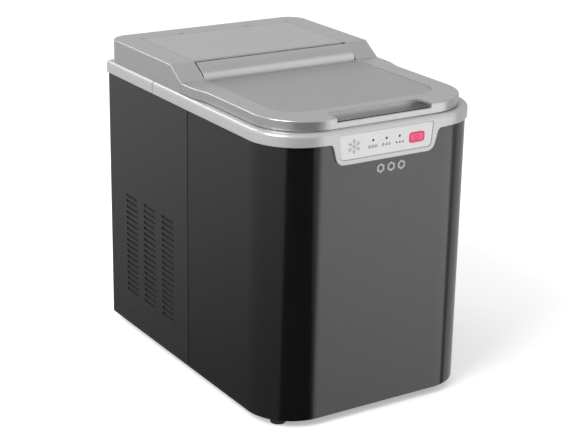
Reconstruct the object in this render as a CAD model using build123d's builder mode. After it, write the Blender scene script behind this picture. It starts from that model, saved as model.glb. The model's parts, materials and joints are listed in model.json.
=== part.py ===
from build123d import *
import os

# Counter-top ice maker, bullet-ice type. Millimetres, +Z up, -Y is the front, and the
# origin is on the table under the middle of the whole machine.

# ---- driving dimensions ----
BODY_HALF = 119.0  # half width over the painted panels
BODY_FRONT = -175.5
BODY_REAR = 169.5
BODY_CORNER = 49.0  # plan radius of the two front corners
BODY_BOTTOM = 8.0  # lower edge of the panels
RIM_BOTTOM = 283.5
DECK_TOP = 296.3
TOTAL_HEIGHT = 321.0
SHEET = 1.2  # steel sheet
WALL = 2.0  # moulded walls
GAP = 0.3  # between pieces that move past each other
FIT = 0.05  # radial running clearance of a shaft

# ---- rim, lid and cover ----
RIM_PROUD = 2.0
RIM_HALF = BODY_HALF + RIM_PROUD
RIM_FRONT = BODY_FRONT - RIM_PROUD
RIM_REAR = BODY_REAR + RIM_PROUD
RIM_CORNER = BODY_CORNER + RIM_PROUD
RIM_REAR_CORNER = 5.5
RIM_SEAM = 62.5
RIM_SEAM_GAP = 1.2
RIM_BAND = 4.2
DECK_THICK = 3.0
COVER_HALF = 118.5
COVER_REAR_CORNER = 20.0
SLOPE_FOOT = 7.0  # y of the bottom of the slope in front of the hump
SLOPE_TOP = 29.0
LID_TOP = 307.0
LID_BOTTOM = 297.0
LID_FRONT = -173.0
LID_HALF = 113.5  # in front of the waist
LID_CORNER = 52.0
LID_REAR = SLOPE_FOOT - 0.6
HINGE_Y = 26.0
HINGE_Z = 303.0
BARREL_R = 17.0
BARREL_HALF = 90.5
HUMP_EDGE = 31.6  # front edge of the hump over the hinge barrel
PIN_R = 2.5

# ---- ice side ----
TANK_HALF = 99.5
TANK_FRONT = -157.5
TANK_REAR = 47.5
TANK_FLOOR = 118.0
TANK_STEP = 138.0
TANK_TOP = DECK_TOP - DECK_THICK
TRAY_Y = 0.0  # axis on which the water tray tips
TRAY_Z = 246.0
TRAY_HALF = 78.0
SHAFT_R = 3.0
FINGER_R = 4.5
FINGER_TIP = 220.0

# ---- machine side ----
FAN_Y = 104.0
FAN_Z = 96.0
COMP_X = 44.0
COMP_Y = 106.0
COMP_R = 43.0
FLOOR_TOP = 12.0  # top of the base pan's floor

FOOT_PLACES = [(x, y) for x in (-97, 97) for y in (-148, 146)]

os.makedirs("parts", exist_ok=True)


def save(name, shape):
    """Labels a finished piece and writes its STEP file."""
    shape.label = name
    export_step(shape, f"parts/{name}.step")


def plan(half, front, rear, front_r, rear_r, mode=Mode.ADD):
    """Plan outline, straight at the sides, with its own radius at the front and rear corners."""
    with BuildLine() as outline:
        FilletPolyline(
            (-half, rear),
            (-half, front),
            (half, front),
            (half, rear),
            radius=[rear_r, front_r, front_r, rear_r],
            close=True,
        )
    make_face(outline.edges(), mode=mode)


def block(x, y, z, mode=Mode.ADD):
    """Box between two limits on each axis."""
    with Locations(((x[0] + x[1]) / 2, (y[0] + y[1]) / 2, (z[0] + z[1]) / 2)):
        Box(x[1] - x[0], y[1] - y[0], z[1] - z[0], mode=mode)


def rod_x(x, y, z, radius, mode=Mode.ADD):
    """Round bar along X between two limits."""
    with Locations(((x[0] + x[1]) / 2, y, z)):
        Cylinder(radius, x[1] - x[0], rotation=(0, 90, 0), mode=mode)


def rod_y(x, y, z, radius, mode=Mode.ADD):
    """Round bar along Y between two limits."""
    with Locations((x, (y[0] + y[1]) / 2, z)):
        Cylinder(radius, y[1] - y[0], rotation=(90, 0, 0), mode=mode)


def rod_z(x, y, z, radius, mode=Mode.ADD):
    """Round bar along Z between two limits."""
    with Locations((x, y, (z[0] + z[1]) / 2)):
        Cylinder(radius, z[1] - z[0], mode=mode)


# ---------------------------------------------------------------- painted body
SEAM_Y = -7.8  # joint between the front wrap and the side panels
SEAM_GAP = 1.5
REAR_BEND = 3.6  # outer radius of the side panels' rear corner
VENT_COLUMNS = (36.0, 76.5, 117.0)
VENT_LONG = 26.0
VENT_HIGH = 3.2
VENT_PITCH = 6.35
VENT_ROWS = 18
VENT_MID_Z = 102.2
BEZEL_DROP = 21.5
BEZEL_BOTTOM = RIM_BOTTOM - BEZEL_DROP
BUTTON_X = 35.0
BUTTON_Z = 277.8
BUTTON_WIDE = 17.6
BUTTON_HIGH = 9.8
LENS_X = (-15.5, -0.3, 14.9)
LENS_Z = 281.6
LENS_R = 1.3


def control_openings(y, mode=Mode.SUBTRACT):
    """Holes behind the control plate for the button and the lenses, through the wall between two y."""
    block(
        (BUTTON_X - BUTTON_WIDE / 2 - 1, BUTTON_X + BUTTON_WIDE / 2 + 1),
        y,
        (BUTTON_Z - BUTTON_HIGH / 2 - 0.6, BUTTON_Z + BUTTON_HIGH / 2 + 0.6),
        mode,
    )
    for x in LENS_X:
        rod_y(x, y, LENS_Z, LENS_R + 0.4, mode)


SCREW_X = 110.0
SCREW_Z = (33.0, 150.0, 272.0)
SCREW_R = 1.7


def back_screw_holes():
    """Clearance holes for the back panel screws, through the panel and the side flanges."""
    for x in (-SCREW_X, SCREW_X):
        for z in SCREW_Z:
            rod_y(x, (BODY_REAR - 4, BODY_REAR + 1), z, SCREW_R + 0.1, Mode.SUBTRACT)


with BuildPart() as front_panel:
    with BuildSketch(Plane.XY.offset(BODY_BOTTOM)):
        plan(BODY_HALF, BODY_FRONT, BODY_REAR, BODY_CORNER, 1)
        plan(
            BODY_HALF - SHEET, BODY_FRONT + SHEET, BODY_REAR - SHEET, BODY_CORNER - SHEET, 0.5,
            mode=Mode.SUBTRACT,
        )
    extrude(amount=RIM_BOTTOM - BODY_BOTTOM)
    block((-150, 150), (SEAM_Y, 200), (0, 300), Mode.SUBTRACT)
    control_openings((BODY_FRONT - 1, BODY_FRONT + SHEET + 1))
save("front_panel", front_panel.part)


def side_panel(side):
    """Flat side sheet with a flange turned in at the rear, and three columns of vent slots."""
    outer = side * BODY_HALF
    inner = side * (BODY_HALF - SHEET)
    flange = side * (BODY_HALF - 14)
    with BuildPart() as panel:
        with BuildSketch(Plane.XY.offset(BODY_BOTTOM)):
            with BuildLine():
                FilletPolyline(
                    (outer, SEAM_Y + SEAM_GAP),
                    (outer, BODY_REAR),
                    (flange, BODY_REAR),
                    (flange, BODY_REAR - SHEET),
                    (inner, BODY_REAR - SHEET),
                    (inner, SEAM_Y + SEAM_GAP),
                    radius=[0, REAR_BEND, 0, 0, REAR_BEND - SHEET, 0],
                    close=True,
                )
            make_face()
        extrude(amount=RIM_BOTTOM - BODY_BOTTOM)
        back_screw_holes()
        for y in VENT_COLUMNS:
            with BuildSketch(Plane.YZ.offset(outer)):
                with Locations((y, VENT_MID_Z)):
                    with GridLocations(1, VENT_PITCH, 1, VENT_ROWS):
                        SlotOverall(VENT_LONG, VENT_HIGH)
            extrude(amount=2 * SHEET, both=True, mode=Mode.SUBTRACT)
    return panel.part


save("left_side_panel", side_panel(-1))
save("right_side_panel", side_panel(1))

GLAND_X = -80.0
GLAND_R = 8.0
GLAND_Z = 46.0
BACK_FRONT = BODY_REAR - 2 * SHEET  # the back panel lies against the side flanges, inside them
with BuildPart() as back_panel:
    block(
        (-BODY_HALF + REAR_BEND, BODY_HALF - REAR_BEND),
        (BACK_FRONT, BODY_REAR - SHEET),
        (BODY_BOTTOM, RIM_BOTTOM),
    )
    for x in (-66, 66):
        with BuildSketch(Plane.XZ.offset(-BODY_REAR)):
            with Locations((x, 120)):
                with GridLocations(1, 8, 1, 16):
                    SlotOverall(70, 3.2)
        extrude(amount=3 * SHEET, mode=Mode.SUBTRACT)
    rod_y(GLAND_X, (BACK_FRONT - 1, BODY_REAR), GLAND_Z, GLAND_R, Mode.SUBTRACT)
    back_screw_holes()
save("back_panel", back_panel.part)

CORD_HOLE_R = 3.6
with BuildPart() as cord_gland:
    rod_y(GLAND_X, (BACK_FRONT - 6, RIM_REAR + 6), GLAND_Z, GLAND_R - 0.1)
    rod_y(GLAND_X, (BODY_REAR - SHEET, BODY_REAR + 4.5), GLAND_Z, GLAND_R + 3)
    rod_y(GLAND_X, (BACK_FRONT - 4, BACK_FRONT), GLAND_Z, GLAND_R + 2.5)
    rod_y(GLAND_X, (BACK_FRONT - 7, RIM_REAR + 7), GLAND_Z, CORD_HOLE_R, Mode.SUBTRACT)
save("cord_gland", cord_gland.part)

with BuildPart() as back_screws:
    for x in (-SCREW_X, SCREW_X):
        for z in SCREW_Z:
            rod_y(x, (BODY_REAR, BODY_REAR + 2.2), z, 2 * SCREW_R)
            rod_y(x, (BODY_REAR - 9, BODY_REAR), z, SCREW_R)
save("back_screws", back_screws.part)

# ---------------------------------------------------------------- base, feet and drain
DRAIN_X = -45.0
DRAIN_Y = -100.0
DRAIN_R = 8.0
PAN_BOTTOM = 9.0
PAN_WALL = 1.5
PAN_HALF = BODY_HALF - SHEET - 0.2
PAN_FRONT = BODY_FRONT + SHEET + 0.2
PAN_REAR = BACK_FRONT - 0.2
FOOT_R = 8.5
FOOT_STEM_R = 3.0

with BuildPart() as base_pan:
    with BuildSketch(Plane.XY.offset(PAN_BOTTOM)):
        plan(PAN_HALF, PAN_FRONT, PAN_REAR, BODY_CORNER - SHEET - 0.2, 2)
    extrude(amount=15)
    with BuildSketch(Plane.XY.offset(FLOOR_TOP)):
        plan(
            PAN_HALF - PAN_WALL, PAN_FRONT + PAN_WALL, PAN_REAR - PAN_WALL,
            BODY_CORNER - SHEET - PAN_WALL, 1,
        )
    extrude(amount=20, mode=Mode.SUBTRACT)
    for x, y in FOOT_PLACES:
        rod_z(x, y, (0, 30), FOOT_STEM_R + 0.1, Mode.SUBTRACT)
    rod_z(DRAIN_X, DRAIN_Y, (0, 30), DRAIN_R + 0.2, Mode.SUBTRACT)
    for y in range(-120, 160, 20):
        with BuildSketch(Plane.XY.offset(PAN_BOTTOM)):
            with Locations((30, y)):
                SlotOverall(60, 4)
        extrude(amount=10, mode=Mode.SUBTRACT)
save("base_pan", base_pan.part)

with BuildPart() as feet:
    for x, y in FOOT_PLACES:
        with Locations((x, y, PAN_BOTTOM / 2)):
            Cone(FOOT_R - 1, FOOT_R, PAN_BOTTOM)
        rod_z(x, y, (PAN_BOTTOM - 0.5, FLOOR_TOP + 1.5), FOOT_STEM_R)
save("feet", feet.part)

with BuildPart() as drain_tube:
    rod_z(DRAIN_X, DRAIN_Y, (PAN_BOTTOM + 0.3, TANK_FLOOR), DRAIN_R)
    rod_z(DRAIN_X, DRAIN_Y, (FLOOR_TOP, FLOOR_TOP + 2), DRAIN_R + 4)
    rod_z(DRAIN_X, DRAIN_Y, (0, TANK_FLOOR + 1), DRAIN_R - 2, Mode.SUBTRACT)
save("drain_tube", drain_tube.part)

CAP_R = 13.0
with BuildPart() as drain_cap:
    rod_z(DRAIN_X, DRAIN_Y, (3, PAN_BOTTOM - GAP), CAP_R)
    rod_z(DRAIN_X, DRAIN_Y, (PAN_BOTTOM - GAP, PAN_BOTTOM + 8), DRAIN_R - 2 - GAP)
    with Locations((DRAIN_X, DRAIN_Y, 3)):
        with PolarLocations(CAP_R, 16):
            Cylinder(1.2, 12, mode=Mode.SUBTRACT)
    block((DRAIN_X - 1.5, DRAIN_X + 1.5), (DRAIN_Y - 9, DRAIN_Y + 9), (0, 5), Mode.SUBTRACT)
save("drain_cap", drain_cap.part)

# ---------------------------------------------------------------- rims
TANK_WALL = 2.0
OPEN_HALF = TANK_HALF - TANK_WALL
OPEN_FRONT = TANK_FRONT + TANK_WALL
OPEN_REAR = TANK_REAR - TANK_WALL
PLATE_TOP = 291.2
PLATE_BOTTOM = 266.2
PLATE_DEEP = 1.4  # recess that the control plate lies in


def rim_blank():
    """Whole rim: an outer band with a rounded top, and the deck inside it."""
    with BuildPart() as blank:
        with BuildSketch(Plane.XY.offset(RIM_BOTTOM)):
            plan(RIM_HALF, RIM_FRONT, RIM_REAR, RIM_CORNER, RIM_REAR_CORNER)
        extrude(amount=DECK_TOP - RIM_BOTTOM)
        fillet(blank.faces().sort_by(Axis.Z)[-1].edges(), 3.6)
        fillet(blank.faces().sort_by(Axis.Z)[0].edges(), 0.8)
        with BuildSketch(Plane.XY.offset(RIM_BOTTOM)):
            plan(
                RIM_HALF - RIM_BAND, RIM_FRONT + RIM_BAND, RIM_REAR - RIM_BAND,
                RIM_CORNER - RIM_BAND, RIM_REAR_CORNER - RIM_BAND,
            )
        extrude(amount=DECK_TOP - DECK_THICK - RIM_BOTTOM, mode=Mode.SUBTRACT)
        with BuildSketch(Plane.XY.offset(RIM_BOTTOM)):
            plan(OPEN_HALF, OPEN_FRONT, OPEN_REAR, 22, 4)
        extrude(amount=30, mode=Mode.SUBTRACT)
    return blank.part


def plate_profile(inset, mode=Mode.ADD):
    """Outline of the control plate: a little narrower at the bottom, with rounded lower corners."""
    with BuildLine() as outline:
        FilletPolyline(
            (-54.3 + inset, PLATE_TOP - inset),
            (-52.0 + inset, PLATE_BOTTOM + inset),
            (52.0 - inset, PLATE_BOTTOM + inset),
            (54.3 - inset, PLATE_TOP - inset),
            radius=[2, 4.5, 4.5, 2],
            close=True,
        )
    make_face(outline.edges(), mode=mode)


with BuildPart() as front_rim:
    add(rim_blank())
    block((-150, 150), (RIM_SEAM, 200), (250, 310), Mode.SUBTRACT)
    with BuildSketch(Plane.XZ.offset(-RIM_FRONT)):
        with BuildLine():
            FilletPolyline(
                (-70, RIM_BOTTOM + 3),
                (-70, RIM_BOTTOM),
                (-60.6, RIM_BOTTOM),
                (-54.5, BEZEL_BOTTOM),
                (54.5, BEZEL_BOTTOM),
                (60.6, RIM_BOTTOM),
                (70, RIM_BOTTOM),
                (70, RIM_BOTTOM + 3),
                radius=[0, 0, 5, 9, 9, 5, 0, 0],
                close=True,
            )
        make_face()
    extrude(amount=-RIM_PROUD)
    with BuildSketch(Plane.XZ.offset(-RIM_FRONT)):
        plate_profile(0)
    extrude(amount=-PLATE_DEEP, mode=Mode.SUBTRACT)
    control_openings((RIM_FRONT, RIM_FRONT + RIM_BAND + 1))
save("front_rim", front_rim.part)

with BuildPart() as rear_rim:
    add(rim_blank())
    block((-150, 150), (-200, RIM_SEAM + RIM_SEAM_GAP), (250, 310), Mode.SUBTRACT)
    block((-106, 106), (0, 158), (250, 310), Mode.SUBTRACT)
save("rear_rim", rear_rim.part)

# ---------------------------------------------------------------- rear cover
CHEEK_HALF = BARREL_HALF + 0.8
CHEEK_THICK = 2.0
TROUGH_R = BARREL_R + 0.5
SKIN_DROP = 2.4  # vertical thickness of the sloping skin


def cover_blank(inset, drop):
    """Solid hump, or its hollow when inset: rounded rear corners and the slope at the front."""
    with BuildPart() as blank:
        with BuildSketch(Plane.XY.offset(DECK_TOP)):
            plan(COVER_HALF - inset, SLOPE_FOOT + inset, BODY_REAR - inset, 0, COVER_REAR_CORNER - inset)
        extrude(amount=TOTAL_HEIGHT - inset - DECK_TOP)
        with BuildSketch(Plane.YZ):
            with BuildLine():
                Polyline(
                    (SLOPE_FOOT - 5, LID_TOP - drop),
                    (SLOPE_FOOT, LID_TOP - drop),
                    (SLOPE_TOP, TOTAL_HEIGHT - drop),
                    (SLOPE_TOP, TOTAL_HEIGHT + 20),
                    (SLOPE_FOOT - 5, TOTAL_HEIGHT + 20),
                    close=True,
                )
            make_face()
        extrude(amount=150, both=True, mode=Mode.SUBTRACT)
    return blank.part


PANEL_HALF = 90.7
PANEL_FRONT = 33.4
PANEL_REAR = 142.5
PANEL_THICK = 0.9

with BuildPart() as rear_cover:
    add(cover_blank(0, 0))
    top_edges = rear_cover.edges().filter_by_position(Axis.Z, LID_TOP + 0.1, TOTAL_HEIGHT + 1)
    rim_edges = top_edges.filter_by(lambda e: abs(e.center().X) > 95 or e.center().Y > 160)
    fillet(rim_edges.filter_by(lambda e: e.bounding_box().size.Z < 0.1 or abs(e.center().Y - 18) < 2), 1.4)
    add(cover_blank(WALL, SKIN_DROP), mode=Mode.SUBTRACT)
    block((-CHEEK_HALF, CHEEK_HALF), (0, HINGE_Y), (290, 330), Mode.SUBTRACT)
    for side in (-1, 1):
        with BuildSketch(Plane.YZ.offset(side * CHEEK_HALF)):
            with BuildLine():
                Polyline(
                    (SLOPE_FOOT + 0.5, DECK_TOP),
                    (SLOPE_FOOT + 0.5, LID_TOP - 1),
                    (SLOPE_TOP, TOTAL_HEIGHT - 1),
                    (SLOPE_TOP + 17, TOTAL_HEIGHT - 1),
                    (SLOPE_TOP + 17, DECK_TOP),
                    close=True,
                )
            make_face()
        extrude(amount=side * CHEEK_THICK)
    with BuildSketch(Plane.YZ):
        with Locations((HINGE_Y, HINGE_Z)):
            Circle(TROUGH_R + WALL)
        with Locations((HINGE_Y + 50, HINGE_Z - 32)):
            Rectangle(100, 2 * (TOTAL_HEIGHT - HINGE_Z - 1) + 64, mode=Mode.INTERSECT)
    extrude(amount=CHEEK_HALF + 1, both=True)
    rod_x((-CHEEK_HALF, CHEEK_HALF), HINGE_Y, HINGE_Z, TROUGH_R, Mode.SUBTRACT)
    block((-CHEEK_HALF, CHEEK_HALF), (0, HUMP_EDGE), (HINGE_Z + 10, 330), Mode.SUBTRACT)
    rod_x((-CHEEK_HALF - 5, CHEEK_HALF + 5), HINGE_Y, HINGE_Z, PIN_R + 0.02, Mode.SUBTRACT)
    with BuildSketch(Plane.XY.offset(TOTAL_HEIGHT)):
        plan(PANEL_HALF + 0.35, PANEL_FRONT - 0.35, PANEL_REAR + 0.35, 1, 1)
    extrude(amount=-PANEL_THICK, mode=Mode.SUBTRACT)
    with BuildSketch(Plane.XY.offset(TOTAL_HEIGHT)):
        with Locations((-40.5, 147.5), (40.5, 147.5)):
            SlotOverall(8, 1.8)
        with Locations((-91, 143), (91, 143)):
            Circle(1.6)
    extrude(amount=-0.8, mode=Mode.SUBTRACT)
save("rear_cover", rear_cover.part)

with BuildPart() as cover_panel:
    with BuildSketch(Plane.XY.offset(TOTAL_HEIGHT - PANEL_THICK)):
        plan(PANEL_HALF, PANEL_FRONT, PANEL_REAR, 1, 1)
        with Locations((-91, 143), (91, 143)):
            Circle(1.9, mode=Mode.SUBTRACT)
    extrude(amount=PANEL_THICK)
save("cover_panel", cover_panel.part)

with BuildPart() as hinge_pins:
    for side in (-1, 1):
        ends = sorted((side * 84.0, side * 95.5))
        rod_x(ends, HINGE_Y, HINGE_Z, PIN_R)
        ends = sorted((side * (CHEEK_HALF + CHEEK_THICK), side * 95.5))
        rod_x(ends, HINGE_Y, HINGE_Z, PIN_R + 1.5)
save("hinge_pins", hinge_pins.part)

# ---------------------------------------------------------------- lid
WAIST_REAR = -8.0  # where the lid starts to narrow
WAIST_FRONT = -44.0
STRAP_DROP = 1.4  # groove between the lid's rear edge and the barrel
INSET_HALF = 91.5
INSET_FRONT = -140.0
INSET_REAR = 3.2
INSET_DEEP = 1.2
INSET_THICK = 0.8
SLOT_REAR = -153.5
SLOT_FRONT = LID_FRONT + WALL
SLOT_HALF = 54.0
SLOT_LEAN = 1.5  # how far the foot of the slot's back wall comes forward
SLOT_POCKET = 8.0  # how far the pocket runs on past each end of the slot
LIP_TOP = LID_TOP - 4.6


def lid_outline(inset):
    """Plan of the lid: full width beside the hinge, a waist on each side, then rounded front corners."""
    with BuildLine() as outline:
        rear = Line((0, LID_REAR - inset), (COVER_HALF - inset, LID_REAR - inset))
        shoulder = Line(rear @ 1, (COVER_HALF - inset, WAIST_REAR))
        middle = (WAIST_REAR + WAIST_FRONT) / 2
        waist = Bezier(
            shoulder @ 1,
            (COVER_HALF - inset, middle),
            (LID_HALF - inset, middle),
            (LID_HALF - inset, WAIST_FRONT),
        )
        side = Line(waist @ 1, (LID_HALF - inset, LID_FRONT + LID_CORNER))
        corner = RadiusArc(side @ 1, (LID_HALF - LID_CORNER, LID_FRONT + inset), LID_CORNER - inset)
        Line(corner @ 1, (0, LID_FRONT + inset))
        mirror(about=Plane.YZ)
    make_face(outline.edges())


with BuildPart() as lid:
    with BuildSketch(Plane.XY.offset(LID_BOTTOM)):
        lid_outline(0)
    extrude(amount=LID_TOP - LID_BOTTOM)
    brim = lid.faces().sort_by(Axis.Z)[-1].edges().filter_by(lambda e: e.center().Y < LID_REAR - 0.1)
    fillet(brim, 1.4)
    with BuildSketch(Plane.XY.offset(LID_BOTTOM)):
        lid_outline(WALL)
    extrude(amount=LID_TOP - WALL - LID_BOTTOM, mode=Mode.SUBTRACT)
    with BuildSketch(Plane.XY.offset(LID_TOP)):
        plan(INSET_HALF, INSET_FRONT, INSET_REAR, 26, 2.5)
    extrude(amount=-INSET_DEEP, mode=Mode.SUBTRACT)
    with BuildSketch(Plane.XY.offset(LID_TOP)):
        with BuildLine():
            FilletPolyline(
                (1 - SLOT_HALF, SLOT_REAR),
                (-SLOT_HALF, SLOT_FRONT),
                (SLOT_HALF, SLOT_FRONT),
                (SLOT_HALF - 1, SLOT_REAR),
                radius=[2.5, 0, 0, 2.5],
                close=True,
            )
        make_face()
    extrude(amount=-WALL, mode=Mode.SUBTRACT)
    foot = LID_BOTTOM + 0.6
    pocket_end = SLOT_HALF + SLOT_POCKET
    with BuildSketch(Plane.YZ):
        with BuildLine():
            Polyline(
                (SLOT_REAR + WALL, LID_TOP - 0.5),
                (SLOT_REAR, LID_TOP - 0.5),
                (SLOT_REAR - SLOT_LEAN, foot),
                (SLOT_REAR - SLOT_LEAN + WALL, foot),
                close=True,
            )
        make_face()
    extrude(amount=pocket_end + WALL, both=True)
    for side in (-1, 1):
        with BuildSketch(Plane.YZ.offset(side * pocket_end)):
            with BuildLine():
                Polyline(
                    (SLOT_REAR, LID_TOP - 0.5),
                    (SLOT_FRONT - 0.5, LID_TOP - 0.5),
                    (SLOT_FRONT - 0.5, foot),
                    (SLOT_REAR - SLOT_LEAN, foot),
                    close=True,
                )
            make_face()
        extrude(amount=side * WALL)
    block((-SLOT_HALF, SLOT_HALF), (LID_FRONT - 1, SLOT_FRONT + 0.5), (LIP_TOP, LID_TOP + 1), Mode.SUBTRACT)
    fillet(lid.edges().filter_by(Axis.X).filter_by_position(Axis.Z, LIP_TOP - 0.01, LIP_TOP + 0.01), 0.7)
    strap_top = LID_TOP - STRAP_DROP
    block(
        (-BARREL_HALF, BARREL_HALF),
        (LID_REAR - WALL, HINGE_Y - BARREL_R + WALL),
        (strap_top - WALL, strap_top),
    )
    with BuildSketch(Plane.YZ):
        with Locations((HINGE_Y, HINGE_Z)):
            Circle(BARREL_R)
            Circle(BARREL_R - WALL, mode=Mode.SUBTRACT)
        with BuildLine():
            Polyline(
                (HINGE_Y, HINGE_Z),
                (HINGE_Y + 14, HINGE_Z + 24),
                (HINGE_Y - 30, HINGE_Z + 24),
                (HINGE_Y - 30, HINGE_Z - 11),
                close=True,
            )
        make_face(mode=Mode.INTERSECT)
    extrude(amount=BARREL_HALF, both=True)
    for x in (-BARREL_HALF, -2.0, BARREL_HALF - 4):
        rod_x((x, x + 4), HINGE_Y, HINGE_Z, BARREL_R)
    rod_x((-BARREL_HALF - 1, BARREL_HALF + 1), HINGE_Y, HINGE_Z, PIN_R + FIT, Mode.SUBTRACT)
save("lid", lid.part)

with BuildPart() as lid_inset:
    with BuildSketch(Plane.XY.offset(LID_TOP - INSET_DEEP)):
        plan(INSET_HALF - 0.25, INSET_FRONT + 0.25, INSET_REAR - 0.25, 25.75, 2.25)
    extrude(amount=INSET_THICK)
    fillet(lid_inset.faces().sort_by(Axis.Z)[-1].edges(), 0.35)
save("lid_inset", lid_inset.part)

with BuildPart() as lid_liner:
    with BuildSketch(Plane.XY.offset(LID_BOTTOM + 0.4)):
        plan(94, -147.5, -6, 20, 8)
    extrude(amount=LID_TOP - WALL - LID_BOTTOM - 0.4)
    fillet(lid_liner.faces().sort_by(Axis.Z)[0].edges(), 1.5)
    with BuildSketch(Plane.XY.offset(LID_BOTTOM + 2)):
        plan(92.4, -145.9, -7.6, 18.4, 6.4)
    extrude(amount=20, mode=Mode.SUBTRACT)
save("lid_liner", lid_liner.part)

# ---------------------------------------------------------------- controls
PLATE_FACE = RIM_FRONT + 0.5
with BuildPart() as control_plate:
    with BuildSketch(Plane.XZ.offset(-PLATE_FACE)):
        plate_profile(0.4)
        with Locations((BUTTON_X, BUTTON_Z)):
            RectangleRounded(BUTTON_WIDE + 2 * GAP, BUTTON_HIGH + 2 * GAP, 3.2, mode=Mode.SUBTRACT)
        with Locations(*[(x, LENS_Z) for x in LENS_X]):
            Circle(LENS_R, mode=Mode.SUBTRACT)
    extrude(amount=-(PLATE_DEEP - 0.5))
save("control_plate", control_plate.part)

with BuildPart() as status_lenses:
    for x in LENS_X:
        rod_y(x, (PLATE_FACE, PLATE_FACE + 5.2), LENS_Z, LENS_R - 0.04)
save("status_lenses", status_lenses.part)

BUTTON_TRAVEL = 0.8
with BuildPart() as power_button:
    with BuildSketch(Plane.XZ.offset(-RIM_FRONT)):
        with Locations((BUTTON_X, BUTTON_Z)):
            RectangleRounded(BUTTON_WIDE, BUTTON_HIGH, 3)
    extrude(amount=-4.6)
    fillet(power_button.faces().sort_by(Axis.Y)[0].edges(), 0.5)
    with BuildSketch(Plane.XZ.offset(-RIM_FRONT - 3.7)):
        with Locations((BUTTON_X, BUTTON_Z)):
            Rectangle(BUTTON_WIDE + 5, BUTTON_HIGH)
    extrude(amount=-0.9)
save("power_button", power_button.part)

PCB_FRONT = -170.6
with BuildPart() as control_board:
    block((-48, 52), (PCB_FRONT, PCB_FRONT + 1.5), (264, 289))
    block((BUTTON_X - 3, BUTTON_X + 3), (PCB_FRONT - 1.3, PCB_FRONT), (BUTTON_Z - 3, BUTTON_Z + 3))
    for x in LENS_X:
        rod_y(x, (PCB_FRONT - 1.0, PCB_FRONT), LENS_Z, 1.0)
save("control_board", control_board.part)

EMBLEM_Z = 252.5
with BuildPart() as front_emblem:
    with BuildSketch(Plane.XZ.offset(-BODY_FRONT)):
        with Locations((-5, EMBLEM_Z), (7, EMBLEM_Z), (19, EMBLEM_Z)):
            RegularPolygon(4.8, 6, rotation=30)
            RegularPolygon(2.7, 6, rotation=30, mode=Mode.SUBTRACT)
    extrude(amount=0.5)
save("front_emblem", front_emblem.part)

# ---------------------------------------------------------------- tank and ice basket
FINGERS_FRONT = [(x, -36.0) for x in (-60, -30, 0, 30, 60)]
FINGERS_REAR = [(x, -14.0) for x in (-45, -15, 15, 45)]
PUMP_X = 55.0
PUMP_Y = -100.0
HOSE_R = 4.0
HOSE_X = 108.5
HOSE_Y = -48.0
HOSE_Z = 262.0
FEED_X = -25.0
SUCTION_X = 25.0
LINE_Z = 264.0

with BuildPart() as inner_tank:
    with BuildSketch(Plane.XY.offset(TANK_STEP - 2)):
        plan(TANK_HALF, TANK_FRONT, TANK_REAR, 24, 6)
    extrude(amount=TANK_TOP - TANK_STEP + 2)
    with BuildSketch(Plane.XY.offset(TANK_FLOOR)):
        plan(86, -142, 42, 18, 5)
    extrude(amount=TANK_STEP - TANK_FLOOR - 1)
    with BuildSketch(Plane.XY.offset(TANK_STEP)):
        plan(OPEN_HALF, OPEN_FRONT, OPEN_REAR, 22, 4)
    extrude(amount=200, mode=Mode.SUBTRACT)
    with BuildSketch(Plane.XY.offset(TANK_FLOOR + 2)):
        plan(84, -140, 40, 16, 4)
    extrude(amount=30, mode=Mode.SUBTRACT)
    for side in (-1, 1):
        ends = sorted((side * (TANK_HALF - 6), side * TANK_HALF))
        rod_x(ends, TRAY_Y, TRAY_Z, SHAFT_R + 4)
    rod_x((-TANK_HALF - 1, TANK_HALF + 1), TRAY_Y, TRAY_Z, SHAFT_R + FIT, Mode.SUBTRACT)
    rod_x((TANK_HALF - 5, TANK_HALF + 5), HOSE_Y, HOSE_Z, HOSE_R + 0.1, Mode.SUBTRACT)
    for x in (FEED_X, SUCTION_X):
        rod_y(x, (TANK_REAR - 5, TANK_REAR + 5), LINE_Z, HOSE_R + 0.1, Mode.SUBTRACT)
    rod_z(DRAIN_X, DRAIN_Y, (TANK_FLOOR - 1, TANK_FLOOR + 5), DRAIN_R - 2, Mode.SUBTRACT)
    rod_z(PUMP_X, PUMP_Y, (TANK_FLOOR - 1, TANK_FLOOR + 5), 4, Mode.SUBTRACT)
save("inner_tank", inner_tank.part)

with BuildPart() as tank_insulation:
    with BuildSketch(Plane.XY.offset(TANK_STEP)):
        plan(TANK_HALF + 8, TANK_FRONT - 9, 60, 32, 2)
        plan(TANK_HALF + 0.3, TANK_FRONT - 0.3, 80, 24.3, 2, mode=Mode.SUBTRACT)
    extrude(amount=TANK_TOP - TANK_STEP - 2)
    block((-150, 150), (-58, 200), (0, 320), Mode.SUBTRACT)
save("tank_insulation", tank_insulation.part)

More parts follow.
